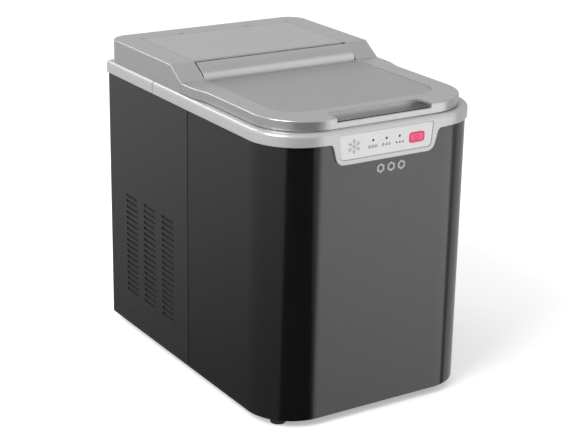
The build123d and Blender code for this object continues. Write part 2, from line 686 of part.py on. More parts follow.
BASKET_Z = TANK_STEP + GAP
BASKET_TOP = 232.0
BASKET_HALF = 86.0
BASKET_FRONT = -150.0
BASKET_REAR = -47.0
with BuildPart() as ice_basket:
    with BuildSketch(Plane.XY.offset(BASKET_Z)):
        plan(BASKET_HALF, BASKET_FRONT, BASKET_REAR, 16, 5)
    extrude(amount=BASKET_TOP - BASKET_Z)
    with BuildSketch(Plane.XY.offset(BASKET_Z + WALL)):
        plan(BASKET_HALF - WALL, BASKET_FRONT + WALL, BASKET_REAR - WALL, 14, 3)
    extrude(amount=200, mode=Mode.SUBTRACT)
    block(
        (WALL - BASKET_HALF, BASKET_HALF - WALL),
        (BASKET_REAR - 6, BASKET_REAR + 3),
        (183, 300),
        Mode.SUBTRACT,
    )
    with BuildSketch(Plane.XY.offset(BASKET_Z)):
        with Locations((0, -98)):
            with GridLocations(38, 12, 4, 7):
                SlotOverall(30, 4)
    extrude(amount=WALL + 1, mode=Mode.SUBTRACT)
    with BuildSketch(Plane.YZ):
        with Locations((-98, 178)):
            with GridLocations(14, 44, 6, 2):
                SlotOverall(34, 4, rotation=90)
    extrude(amount=150, both=True, mode=Mode.SUBTRACT)
    with BuildSketch(Plane.XZ.offset(-BASKET_FRONT)):
        with Locations((0, 178)):
            with GridLocations(16, 44, 8, 2):
                SlotOverall(34, 4, rotation=90)
    extrude(amount=-5, mode=Mode.SUBTRACT)
save("ice_basket", ice_basket.part)

# ---------------------------------------------------------------- tipping tray and shovel
CHUTE_R = 73.0  # inner radius of the chute, about the tray's axis
BLADE_OUT = 71.4
BLADE_IN = 65.9
BLADE_ANGLE = -128.0  # rest direction of the shovel's blade, from +Y
TRAY_DEEP = 36.0
TRAY_LONG = 54.0

with BuildPart() as ice_chute:
    with BuildSketch(Plane.YZ):
        with Locations((TRAY_Y, TRAY_Z)):
            Circle(CHUTE_R + WALL)
            Circle(CHUTE_R, mode=Mode.SUBTRACT)
        with BuildLine():
            Polyline(
                (TRAY_Y, TRAY_Z), (TRAY_Y - 70, TRAY_Z - 100), (TRAY_Y + 56, TRAY_Z - 100), close=True
            )
        make_face(mode=Mode.INTERSECT)
    extrude(amount=OPEN_HALF - GAP, both=True)
    with BuildSketch(Plane.XY.offset(TRAY_Z - 90)):
        with GridLocations(14, 1, 11, 1):
            SlotOverall(56, 4, rotation=90)
    extrude(amount=40, mode=Mode.SUBTRACT)
save("ice_chute", ice_chute.part)

with BuildPart() as ice_shovel:
    for side in (-1, 1):
        with BuildSketch(Plane.YZ.offset(side * 80)):
            with Locations((TRAY_Y, TRAY_Z)):
                Circle(SHAFT_R + 4)
                with PolarLocations((BLADE_IN + 2) / 2, 1, BLADE_ANGLE):
                    SlotCenterToCenter(BLADE_IN + 2, 8)
        extrude(amount=side * 3)
    with BuildSketch(Plane.YZ):
        with Locations((TRAY_Y, TRAY_Z)):
            with PolarLocations((BLADE_IN + BLADE_OUT) / 2, 1, BLADE_ANGLE):
                Rectangle(BLADE_OUT - BLADE_IN, 3)
    extrude(amount=83, both=True)
    rod_x((-90, 90), TRAY_Y, TRAY_Z, SHAFT_R + FIT, Mode.SUBTRACT)
save("ice_shovel", ice_shovel.part)

with BuildPart() as water_tray:
    with BuildSketch(Plane.YZ):
        with BuildLine():
            FilletPolyline(
                (TRAY_Y, TRAY_Z),
                (TRAY_Y, TRAY_Z - TRAY_DEEP),
                (TRAY_Y - TRAY_LONG, TRAY_Z - TRAY_DEEP),
                (TRAY_Y - TRAY_LONG, TRAY_Z),
                radius=[7, 7],
            )
            Line((TRAY_Y - TRAY_LONG, TRAY_Z), (TRAY_Y, TRAY_Z))
        make_face()
    extrude(amount=TRAY_HALF, both=True)
    with BuildSketch(Plane.YZ):
        with BuildLine():
            FilletPolyline(
                (TRAY_Y - WALL, TRAY_Z + 1),
                (TRAY_Y - WALL, TRAY_Z - TRAY_DEEP + WALL),
                (TRAY_Y - TRAY_LONG + WALL, TRAY_Z - TRAY_DEEP + WALL),
                (TRAY_Y - TRAY_LONG + WALL, TRAY_Z + 1),
                radius=[5, 5],
            )
            Line((TRAY_Y - TRAY_LONG + WALL, TRAY_Z + 1), (TRAY_Y - WALL, TRAY_Z + 1))
        make_face()
    extrude(amount=TRAY_HALF - WALL, both=True, mode=Mode.SUBTRACT)
    rod_x((-TRAY_HALF, TRAY_HALF), TRAY_Y, TRAY_Z, SHAFT_R + 2.5)
    rod_x((-TRAY_HALF - 1, TRAY_HALF + 1), TRAY_Y, TRAY_Z, SHAFT_R + 0.02, Mode.SUBTRACT)
save("water_tray", water_tray.part)

with BuildPart() as tray_shaft:
    rod_x((-TANK_HALF + 0.4, TANK_HALF + 7.5), TRAY_Y, TRAY_Z, SHAFT_R)
save("tray_shaft", tray_shaft.part)

with BuildPart() as tray_motor:
    rod_x((TANK_HALF + 0.5, TANK_HALF + 14.5), TRAY_Y, TRAY_Z, 20)
    block((TANK_HALF + 0.5, TANK_HALF + 2), (TRAY_Y - 27, TRAY_Y + 27), (TRAY_Z - 6, TRAY_Z + 6))
    rod_x((TANK_HALF - 1, TANK_HALF + 8), TRAY_Y, TRAY_Z, SHAFT_R + FIT, Mode.SUBTRACT)
    for y in (-23, 23):
        rod_x((TANK_HALF - 1, TANK_HALF + 5), TRAY_Y + y, TRAY_Z, 1.6, Mode.SUBTRACT)
save("tray_motor", tray_motor.part)

# ---------------------------------------------------------------- evaporator
MANIFOLD_Z = (258.0, 268.0)
with BuildPart() as evaporator:
    block((-66, 66), (-42, -8), MANIFOLD_Z)
    fillet(evaporator.edges(), 2.5)
    for x, y in FINGERS_FRONT + FINGERS_REAR:
        rod_z(x, y, (FINGER_TIP + FINGER_R, MANIFOLD_Z[0] + 1), FINGER_R)
        with Locations((x, y, FINGER_TIP + FINGER_R)):
            Sphere(FINGER_R)
save("evaporator", evaporator.part)

with BuildPart() as evaporator_bracket:
    block((-OPEN_HALF, OPEN_HALF), (-44, -6), (MANIFOLD_Z[1], MANIFOLD_Z[1] + 8))
    fillet(evaporator_bracket.edges().filter_by(Axis.X), 2)
    for side in (-1, 1):
        block(sorted((side * 92, side * OPEN_HALF)), (-44, -6), (MANIFOLD_Z[0] - 2, MANIFOLD_Z[1] + 1))
save("evaporator_bracket", evaporator_bracket.part)


def tube(radius, points, bend):
    """Bare metal or rubber line: straight runs joined by bends of one radius."""
    with BuildPart() as line:
        with BuildLine() as path:
            FilletPolyline(*points, radius=bend)
        start = path.line @ 0
        with BuildSketch(Plane(origin=start, z_dir=path.line % 0)):
            Circle(radius)
        sweep(path=path.line)
    return line.part


with BuildPart() as water_pump:
    rod_z(PUMP_X, PUMP_Y, (48, 92), 20)
    rod_z(PUMP_X, PUMP_Y, (92, 100), 12)
    rod_z(PUMP_X, PUMP_Y, (100, TANK_FLOOR), 6)
    rod_x((PUMP_X + 15, PUMP_X + 28), PUMP_Y, 84, 5)
    block((PUMP_X - 24, PUMP_X + 24), (PUMP_Y - 12, PUMP_Y + 12), (FLOOR_TOP, FLOOR_TOP + 2))
    block((PUMP_X - 9, PUMP_X + 9), (PUMP_Y - 9, PUMP_Y + 9), (FLOOR_TOP, 49))
    rod_z(PUMP_X, PUMP_Y, (96, TANK_FLOOR + 1), 4, Mode.SUBTRACT)
save("water_pump", water_pump.part)

hose_points = [
    (PUMP_X + 28, PUMP_Y, 84),
    (HOSE_X, PUMP_Y, 84),
    (HOSE_X, HOSE_Y, 84),
    (HOSE_X, HOSE_Y, HOSE_Z),
    (72, HOSE_Y, HOSE_Z),
]
save("water_hose", tube(HOSE_R, hose_points, 8))

FLOAT_X = -68.0
FLOAT_Y = 22.0
FLOAT_TRAVEL = 20.0
with BuildPart() as float_stem:
    rod_z(FLOAT_X, FLOAT_Y, (TANK_FLOOR + 2, 164), 3)
    rod_z(FLOAT_X, FLOAT_Y, (TANK_FLOOR + 2, TANK_FLOOR + 5), 7)
    rod_z(FLOAT_X, FLOAT_Y, (162, 165), 6)
save("float_stem", float_stem.part)

with BuildPart() as level_float:
    rod_z(FLOAT_X, FLOAT_Y, (TANK_FLOOR + 5.3, TANK_FLOOR + 20), 11)
    fillet(level_float.edges(), 2)
    rod_z(FLOAT_X, FLOAT_Y, (0, 200), 3 + GAP, Mode.SUBTRACT)
save("level_float", level_float.part)

with BuildPart() as ice_full_sensors:
    for side in (-1, 1):
        block(sorted((side * 93, side * OPEN_HALF)), (-78, -62), (236, 252))
        rod_x(sorted((side * 91.5, side * 94)), -70, 244, 3)
save("ice_full_sensors", ice_full_sensors.part)

# ---------------------------------------------------------------- refrigeration
COMP_BOTTOM = 24.0
COMP_TOP = 150.0
with BuildPart() as compressor:
    rod_z(COMP_X, COMP_Y, (COMP_BOTTOM, COMP_TOP), COMP_R)
    fillet(compressor.edges().group_by(Axis.Z)[-1], 22)
    fillet(compressor.edges().group_by(Axis.Z)[0], 14)
    rod_z(COMP_X, COMP_Y, (86, 90), COMP_R + 2)
    block((COMP_X - 49, COMP_X + 49), (COMP_Y - 44, COMP_Y + 44), (COMP_BOTTOM - 2, COMP_BOTTOM + 1))
    block((COMP_X + 36, COMP_X + 56), (COMP_Y - 18, COMP_Y + 18), (92, 128))
save("compressor", compressor.part)

with BuildPart() as compressor_grommets:
    for x in (-40, 40):
        for y in (-36, 36):
            rod_z(COMP_X + x, COMP_Y + y, (FLOOR_TOP, COMP_BOTTOM - 2), 8)
save("compressor_grommets", compressor_grommets.part)

COND_X = (-113.0, -87.0)
COND_Y = (54.0, 154.0)
COND_Z = (40.0, 146.0)
FIN_PITCH = 5.0
with BuildPart() as condenser:
    for side_y in COND_Y:
        block(COND_X, (side_y - 0.6, side_y + 0.6), (FLOOR_TOP, COND_Z[1]))
    fin_y = COND_Y[0] + FIN_PITCH
    while fin_y < COND_Y[1] - 1:
        block(COND_X, (fin_y - 0.25, fin_y + 0.25), COND_Z)
        fin_y += FIN_PITCH
    for row in range(5):
        z = COND_Z[0] + 11 + 21 * row
        rod_y(-106, (COND_Y[0] - 4, COND_Y[1] + 4), z, 3)
        rod_y(-94, (COND_Y[0] - 4, COND_Y[1] + 4), z, 3)
save("condenser", condenser.part)

SHROUD_X = (-85.0, -66.0)
FAN_HOLE_R = 44.0
with BuildPart() as fan_shroud:
    block((SHROUD_X[0], SHROUD_X[0] + 2), COND_Y, (FLOOR_TOP, COND_Z[1]))
    rod_x(SHROUD_X, FAN_Y, FAN_Z, FAN_HOLE_R + 2)
    rod_x((SHROUD_X[0] - 1, SHROUD_X[1] + 1), FAN_Y, FAN_Z, FAN_HOLE_R, Mode.SUBTRACT)
save("fan_shroud", fan_shroud.part)

FAN_MOTOR_X = (-58.0, -32.0)
FAN_SHAFT_R = 2.0
with BuildPart() as fan_motor:
    rod_x(FAN_MOTOR_X, FAN_Y, FAN_Z, 17)
    rod_x((-80, FAN_MOTOR_X[0]), FAN_Y, FAN_Z, FAN_SHAFT_R)
    block((-52, -38), (FAN_Y - 15, FAN_Y + 15), (FLOOR_TOP, FAN_Z - 8))
    block((-60, -30), (FAN_Y - 22, FAN_Y + 22), (FLOOR_TOP, FLOOR_TOP + 2))
save("fan_motor", fan_motor.part)

BLADES = 5
with BuildPart() as fan_blade:
    rod_x((-79, -63), FAN_Y, FAN_Z, 11)
    for turn in range(BLADES):
        with Locations(Location((-71, FAN_Y, FAN_Z), (turn * 360 / BLADES, 0, 0))):
            with Locations(Location((0, 0, 25), (0, 0, 35))):
                Box(16, 1.6, 31)
    rod_x((-90, -60), FAN_Y, FAN_Z, FAN_SHAFT_R + FIT, Mode.SUBTRACT)
save("fan_blade", fan_blade.part)

DRIER_X = -16.0
DRIER_Y = 157.0
DRIER_Z = (64.0, 130.0)
with BuildPart() as filter_drier:
    rod_z(DRIER_X, DRIER_Y, DRIER_Z, 8)
    chamfer(filter_drier.edges(), 4)
save("filter_drier", filter_drier.part)

discharge_points = [(30, 96, COMP_TOP), (30, 96, 168), (-100, 96, 168), (-100, 96, COND_Z[1])]
save("discharge_line", tube(3.0, discharge_points, 9))
liquid_points = [
    (-100, 140, COND_Z[1]),
    (-100, 140, 178),
    (DRIER_X, 140, 178),
    (DRIER_X, DRIER_Y, 178),
    (DRIER_X, DRIER_Y, DRIER_Z[1]),
]
save("liquid_line", tube(2.5, liquid_points, 7))
feed_points = [
    (DRIER_X, DRIER_Y, DRIER_Z[0]),
    (DRIER_X, DRIER_Y, 48),
    (FEED_X - 12, DRIER_Y, 48),
    (FEED_X - 12, DRIER_Y, 244),
    (FEED_X - 12, 60, 244),
    (FEED_X, 60, 244),
    (FEED_X, 60, LINE_Z),
    (FEED_X, -8, LINE_Z),
]
save("feed_line", tube(1.5, feed_points, 4))
suction_points = [
    (SUCTION_X, -8, LINE_Z),
    (SUCTION_X, 60, LINE_Z),
    (SUCTION_X, 60, 176),
    (58, 60, 176),
    (58, 100, 176),
    (58, 100, COMP_TOP),
]
save("suction_line", tube(3.5, suction_points, 8))

# ---------------------------------------------------------------- electronics
BOX_X = (-8.0, 102.0)
BOX_Y = (72.0, BACK_FRONT)
BOX_Z = (196.0, 238.0)
with BuildPart() as control_box:
    block(BOX_X, BOX_Y, BOX_Z)
    block(
        (BOX_X[0] + WALL, BOX_X[1] - WALL),
        (BOX_Y[0] + WALL, BOX_Y[1] - WALL),
        (BOX_Z[0] + WALL, BOX_Z[1] - WALL),
        Mode.SUBTRACT,
    )
save("control_box", control_box.part)

with BuildPart() as power_board:
    block((BOX_X[0] + 6, BOX_X[1] - 6), (BOX_Y[0] + 8, BOX_Y[1] - 8), (BOX_Z[0] + 6, BOX_Z[0] + 7.6))
    for x, y in ((6, 86), (92, 86), (6, 152), (92, 152)):
        rod_z(x, y, (BOX_Z[0] + WALL, BOX_Z[0] + 6.5), 3)
    block((10, 40), (92, 122), (BOX_Z[0] + 7, BOX_Z[0] + 32))
    block((52, 68), (96, 116), (BOX_Z[0] + 7, BOX_Z[0] + 24))
    rod_z(80, 130, (BOX_Z[0] + 7, BOX_Z[0] + 28), 8)
save("power_board", power_board.part)
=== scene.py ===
import bmesh
import bpy
import json
import math
from mathutils import Matrix, Vector


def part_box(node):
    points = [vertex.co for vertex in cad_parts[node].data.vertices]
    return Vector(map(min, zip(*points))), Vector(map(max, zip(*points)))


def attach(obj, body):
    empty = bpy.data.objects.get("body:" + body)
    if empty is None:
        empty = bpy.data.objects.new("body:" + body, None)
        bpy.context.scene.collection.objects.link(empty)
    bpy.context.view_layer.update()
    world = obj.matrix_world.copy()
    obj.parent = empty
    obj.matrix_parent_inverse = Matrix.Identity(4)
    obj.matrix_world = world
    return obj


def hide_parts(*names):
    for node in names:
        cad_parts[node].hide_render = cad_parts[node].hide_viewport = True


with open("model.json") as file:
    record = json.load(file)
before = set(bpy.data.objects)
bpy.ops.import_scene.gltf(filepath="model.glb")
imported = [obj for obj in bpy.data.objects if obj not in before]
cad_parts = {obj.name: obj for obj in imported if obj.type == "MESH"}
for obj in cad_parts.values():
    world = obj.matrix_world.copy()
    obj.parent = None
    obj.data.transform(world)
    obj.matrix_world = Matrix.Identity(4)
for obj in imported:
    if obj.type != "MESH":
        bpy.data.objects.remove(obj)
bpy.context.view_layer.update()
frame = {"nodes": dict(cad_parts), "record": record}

nodes = frame["nodes"]
print("frame loaded,", len(nodes), "nodes")

# studio

cameraView = {
    "place": (-0.837389, -1.319869, 0.694979),
    "right": (0.843866, -0.536245, 0.018207),
    "up": (0.163171, 0.288806, 0.943380),
    "lens": 96.58,
    "shift": -0.0018,
}
keyLight = {"place": (-2.0, -0.5, 1.9), "aim": (0, 0, 0.15), "size": 1.5, "power": 56}
fillLight = {"place": (1.6, -1.6, 1.4), "aim": (0, 0, 0.15), "size": 1.6, "power": 5}
backLight = {"place": (-0.9, 2.0, 1.9), "aim": (0, 0, 0.25), "size": 1.2, "power": 12}
# glow of the surroundings by height of the direction, from straight down to straight up
worldGlow = ((0.0, 0.1), (0.29, 0.12), (0.375, 0.44), (0.42, 0.58), (0.5, 0.6), (1.0, 0.62))
floorLook = {"size": 30, "colour": (0.9, 0.9, 0.9, 1), "roughness": 0.6, "glow": 0.34}
# cards that only reflections see: a lit one for the front, dark ones for the corners
frontCard = {
    "place": (1.085, -1.292, -0.42), "aim": (0.135, -0.108, 0.14),
    "size": (1.15, 1.4), "fade": (-0.6, 0.15, 0.65, 1.5),
}
cornerCard = {
    "place": (-0.40, -1.06, -0.4), "aim": (-0.07, -0.13, 0.15),
    "size": (1.35, 1.4), "fade": (-1, 1, 0.01, 0.01),
}
rightCard = {
    "place": (1.05, 0.25, -0.35), "aim": (0.07, -0.13, 0.15),
    "size": (1.5, 1.4), "fade": (-1, 1, 0.6, 0.6),
}


def makeCamera(view):
    data = bpy.data.cameras.new("camera")
    data.lens = view["lens"]
    data.sensor_width = 36
    data.shift_x = view["shift"]
    camera = bpy.data.objects.new("camera", data)
    right, up = Vector(view["right"]), Vector(view["up"])
    turn = Matrix((right, up, right.cross(up))).transposed().to_4x4()
    camera.matrix_world = Matrix.Translation(view["place"]) @ turn
    bpy.context.scene.collection.objects.link(camera)
    bpy.context.scene.camera = camera


def aimed(obj, settings):
    away = Vector(settings["aim"]) - Vector(settings["place"])
    obj.location = settings["place"]
    obj.rotation_euler = away.to_track_quat("-Z", "Y").to_euler()


def makeLight(name, settings):
    data = bpy.data.lights.new(name, "AREA")
    data.size = settings["size"]
    data.energy = settings["power"]
    light = bpy.data.objects.new(name, data)
    bpy.context.scene.collection.objects.link(light)
    aimed(light, settings)


def makeCard(name, settings):
    mesh = bpy.data.meshes.new(name)
    bm = bmesh.new()
    bmesh.ops.create_grid(bm, x_segments=1, y_segments=1, size=0.5)
    bmesh.ops.scale(bm, vec=(*settings["size"], 1), verts=bm.verts)
    bm.to_mesh(mesh)
    bm.free()
    card = bpy.data.objects.new(name, mesh)
    bpy.context.scene.collection.objects.link(card)
    aimed(card, settings)
    material = bpy.data.materials.new(name)
    material.use_nodes = True
    tree = material.node_tree
    shader = tree.nodes["Principled BSDF"]
    shader.inputs["Base Color"].default_value = (0, 0, 0, 1)
    shader.inputs["Specular IOR Level"].default_value = 0
    shader.inputs["Emission Color"].default_value = (1, 1, 1, 1)
    fade = tree.nodes.new("ShaderNodeMapRange")  # dimmer towards the floor
    for spot, number in zip(("From Min", "From Max", "To Min", "To Max"), settings["fade"]):
        fade.inputs[spot].default_value = number
    split = tree.nodes.new("ShaderNodeSeparateXYZ")
    tree.links.new(tree.nodes.new("ShaderNodeTexCoord").outputs["Object"], split.inputs[0])
    tree.links.new(split.outputs["Y"], fade.inputs["Value"])
    tree.links.new(fade.outputs["Result"], shader.inputs["Emission Strength"])
    mesh.materials.append(material)
    card.visible_camera = False  # only reflections see it
    card.visible_diffuse = False
    card.visible_shadow = False


def makeWorld():
    world = bpy.data.worlds.new("studio")
    world.use_nodes = True
    tree = world.node_tree
    split = tree.nodes.new("ShaderNodeSeparateXYZ")
    height = tree.nodes.new("ShaderNodeMapRange")
    height.inputs["From Min"].default_value = -1
    ramp = tree.nodes.new("ShaderNodeValToRGB")
    ramp.color_ramp.elements.remove(ramp.color_ramp.elements[0])
    for i, (spot, glow) in enumerate(worldGlow):
        stop = ramp.color_ramp.elements[0] if i == 0 else ramp.color_ramp.elements.new(spot)
        stop.position = spot
        stop.color = (glow, glow, glow * 1.01, 1)
    tree.links.new(tree.nodes.new("ShaderNodeTexCoord").outputs["Generated"], split.inputs[0])
    tree.links.new(split.outputs["Z"], height.inputs["Value"])
    tree.links.new(height.outputs["Result"], ramp.inputs["Fac"])
    tree.links.new(ramp.outputs["Color"], tree.nodes["Background"].inputs["Color"])
    bpy.context.scene.world = world


def makeStudio():
    makeCamera(cameraView)
    makeLight("keyLight", keyLight)
    makeLight("fillLight", fillLight)
    makeLight("backLight", backLight)
    makeCard("frontCard", frontCard)
    makeCard("cornerCard", cornerCard)
    makeCard("rightCard", rightCard)
    makeWorld()
    mesh = bpy.data.meshes.new("floor")
    bm = bmesh.new()
    bmesh.ops.create_grid(bm, x_segments=1, y_segments=1, size=floorLook["size"] / 2)
    bm.to_mesh(mesh)
    bm.free()
    floor = bpy.data.objects.new("floor", mesh)
    floor.visible_glossy = False  # the cards below it show in the panels instead
    material = bpy.data.materials.new("floor")
    material.use_nodes = True
    shader = material.node_tree.nodes["Principled BSDF"]
    shader.inputs["Base Color"].default_value = floorLook["colour"]
    shader.inputs["Roughness"].default_value = floorLook["roughness"]
    shader.inputs["Emission Color"].default_value = (1, 1, 1, 1)
    shader.inputs["Emission Strength"].default_value = floorLook["glow"]
    mesh.materials.append(material)
    bpy.context.scene.collection.objects.link(floor)
    bpy.context.scene.view_settings.view_transform = "Standard"


makeStudio()
print("studio ready")

# finishes: one dictionary each, and one function that reads them
# tone, drift and wornAndHighlit are linear colours: tone fades to drift in slow clouds, and wornAndHighlit is
# for edges, partly scuffing and partly a painted highlight along them
# rough is the range of roughness, grain and bump the fine texture, gloss the specular level where it isn't 0.5
# wearAndHighlight is how strongly edges are scuffed and lit by the painted highlight, and
# wearAndHighlightReach how far in, in metres, where it isn't edgeWearAndHighlightReach

finishLooks = {
    "blackPaint": {
        "tone": (0.0035, 0.0035, 0.0036), "drift": (0.0045, 0.0045, 0.0046),
        "metal": 0.0, "gloss": 1.0, "rough": (0.14, 0.19), "grain": 900, "bump": 0.03,
        "wornAndHighlit": (0.06, 0.06, 0.062), "wearAndHighlight": 0.5,
    },
    # a lighter copy of the black paint for the side panels: painted light, making the sides brighter than the
    # front though both are the same black paint
    "sidePaintLit": {
        "tone": (0.0075, 0.0075, 0.0078), "drift": (0.0095, 0.0095, 0.0099),
        "metal": 0.0, "gloss": 1.0, "rough": (0.17, 0.22), "grain": 900, "bump": 0.03,
        "wornAndHighlit": (0.06, 0.06, 0.062), "wearAndHighlight": 0.5,
    },
    "galvanised": {
        "tone": (0.42, 0.43, 0.44), "drift": (0.56, 0.57, 0.58),
        "metal": 1.0, "rough": (0.3, 0.5), "grain": 120, "bump": 0.05,
        "wornAndHighlit": (0.7, 0.7, 0.7), "wearAndHighlight": 0.5,
    },
    "rubber": {
        "tone": (0.014, 0.014, 0.014), "drift": (0.026, 0.026, 0.026),
        "metal": 0.0, "rough": (0.7, 0.9), "grain": 700, "bump": 0.2,
        "wornAndHighlit": (0.06, 0.06, 0.06), "wearAndHighlight": 0.6,
    },
    "blackPlastic": {
        "tone": (0.016, 0.016, 0.017), "drift": (0.024, 0.024, 0.025),
        "metal": 0.0, "rough": (0.4, 0.55), "grain": 1200, "bump": 0.15,
        "wornAndHighlit": (0.07, 0.07, 0.07), "wearAndHighlight": 0.5,
    },
    "rimGrey": {
        "tone": (0.50, 0.50, 0.50), "drift": (0.52, 0.52, 0.523),
        "metal": 0.5, "rough": (0.29, 0.31), "grain": 2600, "bump": 0.025,
        "wornAndHighlit": (0.62, 0.62, 0.62), "wearAndHighlight": 0.15, "wearAndHighlightReach": 0.0003,
    },
    "silverPlastic": {
        "tone": (0.50, 0.50, 0.50), "drift": (0.52, 0.52, 0.523),
        "metal": 0.8, "rough": (0.27, 0.3), "grain": 2600, "bump": 0.025,
        "wornAndHighlit": (0.75, 0.75, 0.75), "wearAndHighlight": 0.3, "wearAndHighlightReach": 0.0004,
    },
    "silverPanel": {
        "tone": (0.54, 0.54, 0.54), "drift": (0.56, 0.56, 0.563),
        "metal": 0.8, "rough": (0.27, 0.3), "grain": 2600, "bump": 0.025,
        "wornAndHighlit": (0.75, 0.75, 0.75), "wearAndHighlight": 0.3, "wearAndHighlightReach": 0.0003,
    },
    "insetGrey": {
        "tone": (0.42, 0.42, 0.42), "drift": (0.44, 0.44, 0.443),
        "metal": 0.8, "rough": (0.28, 0.32), "grain": 2600, "bump": 0.03,
        "wornAndHighlit": (0.72, 0.72, 0.72), "wearAndHighlight": 0.7,
    },
    "whitePlastic": {
        "tone": (0.72, 0.73, 0.73), "drift": (0.78, 0.79, 0.79),
        "metal": 0.0, "rough": (0.25, 0.36), "grain": 800, "bump": 0.03,
        "wornAndHighlit": (0.86, 0.86, 0.86), "wearAndHighlight": 0.4,
    },
    "controlWhite": {
        "tone": (0.62, 0.62, 0.625), "drift": (0.65, 0.65, 0.655),
        "metal": 0.0, "rough": (0.3, 0.38), "grain": 1500, "bump": 0.03,
        "wornAndHighlit": (0.86, 0.86, 0.86), "wearAndHighlight": 0.4,
    },
    "buttonPink": {
        "tone": (0.80, 0.075, 0.19), "drift": (0.85, 0.09, 0.215),
        "metal": 0.0, "rough": (0.28, 0.36), "grain": 1500, "bump": 0.03,
        "wornAndHighlit": (0.9, 0.25, 0.35), "wearAndHighlight": 0.5,
    },
    "buttonEdge": {
        "tone": (0.58, 0.03, 0.11), "drift": (0.62, 0.04, 0.125),
        "metal": 0.0, "rough": (0.28, 0.36), "grain": 1500, "bump": 0.03,
        "wornAndHighlit": (0.85, 0.2, 0.3), "wearAndHighlight": 0.5,
    },
    "lensSmoke": {
        "tone": (0.03, 0.03, 0.032), "drift": (0.04, 0.04, 0.043),
        "metal": 0.0, "rough": (0.1, 0.16), "grain": 600, "bump": 0.02,
        "wornAndHighlit": (0.12, 0.12, 0.12), "wearAndHighlight": 0.4,
    },
    "boardGreen": {
        "tone": (0.015, 0.10, 0.045), "drift": (0.02, 0.14, 0.06),
        "metal": 0.0, "rough": (0.3, 0.45), "grain": 500, "bump": 0.1,
        "wornAndHighlit": (0.3, 0.3, 0.15), "wearAndHighlight": 0.5,
    },
    "emblemSilver": {
        "tone": (0.32, 0.32, 0.323), "drift": (0.38, 0.38, 0.383),
        "metal": 0.5, "rough": (0.25, 0.35), "grain": 900, "bump": 0.03,
        "wornAndHighlit": (0.9, 0.9, 0.9), "wearAndHighlight": 0.5,
    },
    "foam": {
        "tone": (0.62, 0.6, 0.53), "drift": (0.74, 0.72, 0.64),
        "metal": 0.0, "rough": (0.8, 0.95), "grain": 350, "bump": 0.5,
        "wornAndHighlit": (0.8, 0.78, 0.7), "wearAndHighlight": 0.3,
    },
    "basketGrey": {
        "tone": (0.44, 0.48, 0.52), "drift": (0.5, 0.54, 0.58),
        "metal": 0.0, "rough": (0.25, 0.4), "grain": 700, "bump": 0.06,
        "wornAndHighlit": (0.7, 0.72, 0.75), "wearAndHighlight": 0.5,
    },
    "brightSteel": {
        "tone": (0.5, 0.5, 0.51), "drift": (0.62, 0.62, 0.63),
        "metal": 1.0, "rough": (0.2, 0.35), "grain": 500, "bump": 0.05,
        "wornAndHighlit": (0.8, 0.8, 0.8), "wearAndHighlight": 0.5,
    },
    "motorGrey": {
        "tone": (0.28, 0.29, 0.3), "drift": (0.36, 0.37, 0.38),
        "metal": 0.8, "rough": (0.35, 0.5), "grain": 400, "bump": 0.06,
        "wornAndHighlit": (0.6, 0.6, 0.6), "wearAndHighlight": 0.6,
    },
    "sensorBlack": {
        "tone": (0.012, 0.01, 0.012), "drift": (0.018, 0.015, 0.018),
        "metal": 0.0, "rough": (0.12, 0.2), "grain": 900, "bump": 0.02,
        "wornAndHighlit": (0.06, 0.06, 0.06), "wearAndHighlight": 0.4,
    },
    "platedCopper": {
        "tone": (0.6, 0.585, 0.56), "drift": (0.7, 0.69, 0.67),
        "metal": 1.0, "rough": (0.12, 0.26), "grain": 400, "bump": 0.06,
        "wornAndHighlit": (0.85, 0.84, 0.82), "wearAndHighlight": 0.5,
    },
    "copper": {
        "tone": (0.55, 0.24, 0.13), "drift": (0.72, 0.36, 0.22),
        "metal": 1.0, "rough": (0.22, 0.42), "grain": 300, "bump": 0.06,
        "wornAndHighlit": (0.9, 0.55, 0.4), "wearAndHighlight": 0.4,
    },
    "hoseMilky": {
        "tone": (0.6, 0.61, 0.6), "drift": (0.7, 0.71, 0.7),
        "metal": 0.0, "rough": (0.35, 0.5), "grain": 500, "bump": 0.05,
        "wornAndHighlit": (0.8, 0.8, 0.8), "wearAndHighlight": 0.2,
    },
    "compressorBlack": {
        "tone": (0.01, 0.01, 0.01), "drift": (0.018, 0.018, 0.018),
        "metal": 0.0, "rough": (0.2, 0.35), "grain": 350, "bump": 0.08,
        "wornAndHighlit": (0.1, 0.1, 0.1), "wearAndHighlight": 0.5,
    },
    "finAluminium": {
        "tone": (0.6, 0.61, 0.62), "drift": (0.72, 0.73, 0.74),
        "metal": 1.0, "rough": (0.3, 0.5), "grain": 500, "bump": 0.05,
        "wornAndHighlit": (0.85, 0.85, 0.85), "wearAndHighlight": 0.4,
    },
    "floatWhite": {
        "tone": (0.74, 0.73, 0.7), "drift": (0.82, 0.81, 0.78),
        "metal": 0.0, "rough": (0.5, 0.7), "grain": 600, "bump": 0.15,
        "wornAndHighlit": (0.88, 0.88, 0.86), "wearAndHighlight": 0.3,
    },
    "inkGrey": {
        "tone": (0.40, 0.40, 0.42), "drift": (0.46, 0.46, 0.48),
        "metal": 0.0, "rough": (0.4, 0.5), "grain": 900, "bump": 0.02,
        "wornAndHighlit": (0.5, 0.5, 0.5), "wearAndHighlight": 0.2,
    },
    "inkDark": {
        "tone": (0.05, 0.05, 0.055), "drift": (0.07, 0.07, 0.075),
        "metal": 0.0, "rough": (0.4, 0.5), "grain": 900, "bump": 0.02,
        "wornAndHighlit": (0.2, 0.2, 0.2), "wearAndHighlight": 0.2,
    },
    "inkRed": {
        "tone": (0.42, 0.008, 0.045), "drift": (0.46, 0.012, 0.055),
        "metal": 0.0, "rough": (0.35, 0.45), "grain": 900, "bump": 0.02,
        "wornAndHighlit": (0.6, 0.1, 0.15), "wearAndHighlight": 0.2,
    },
}

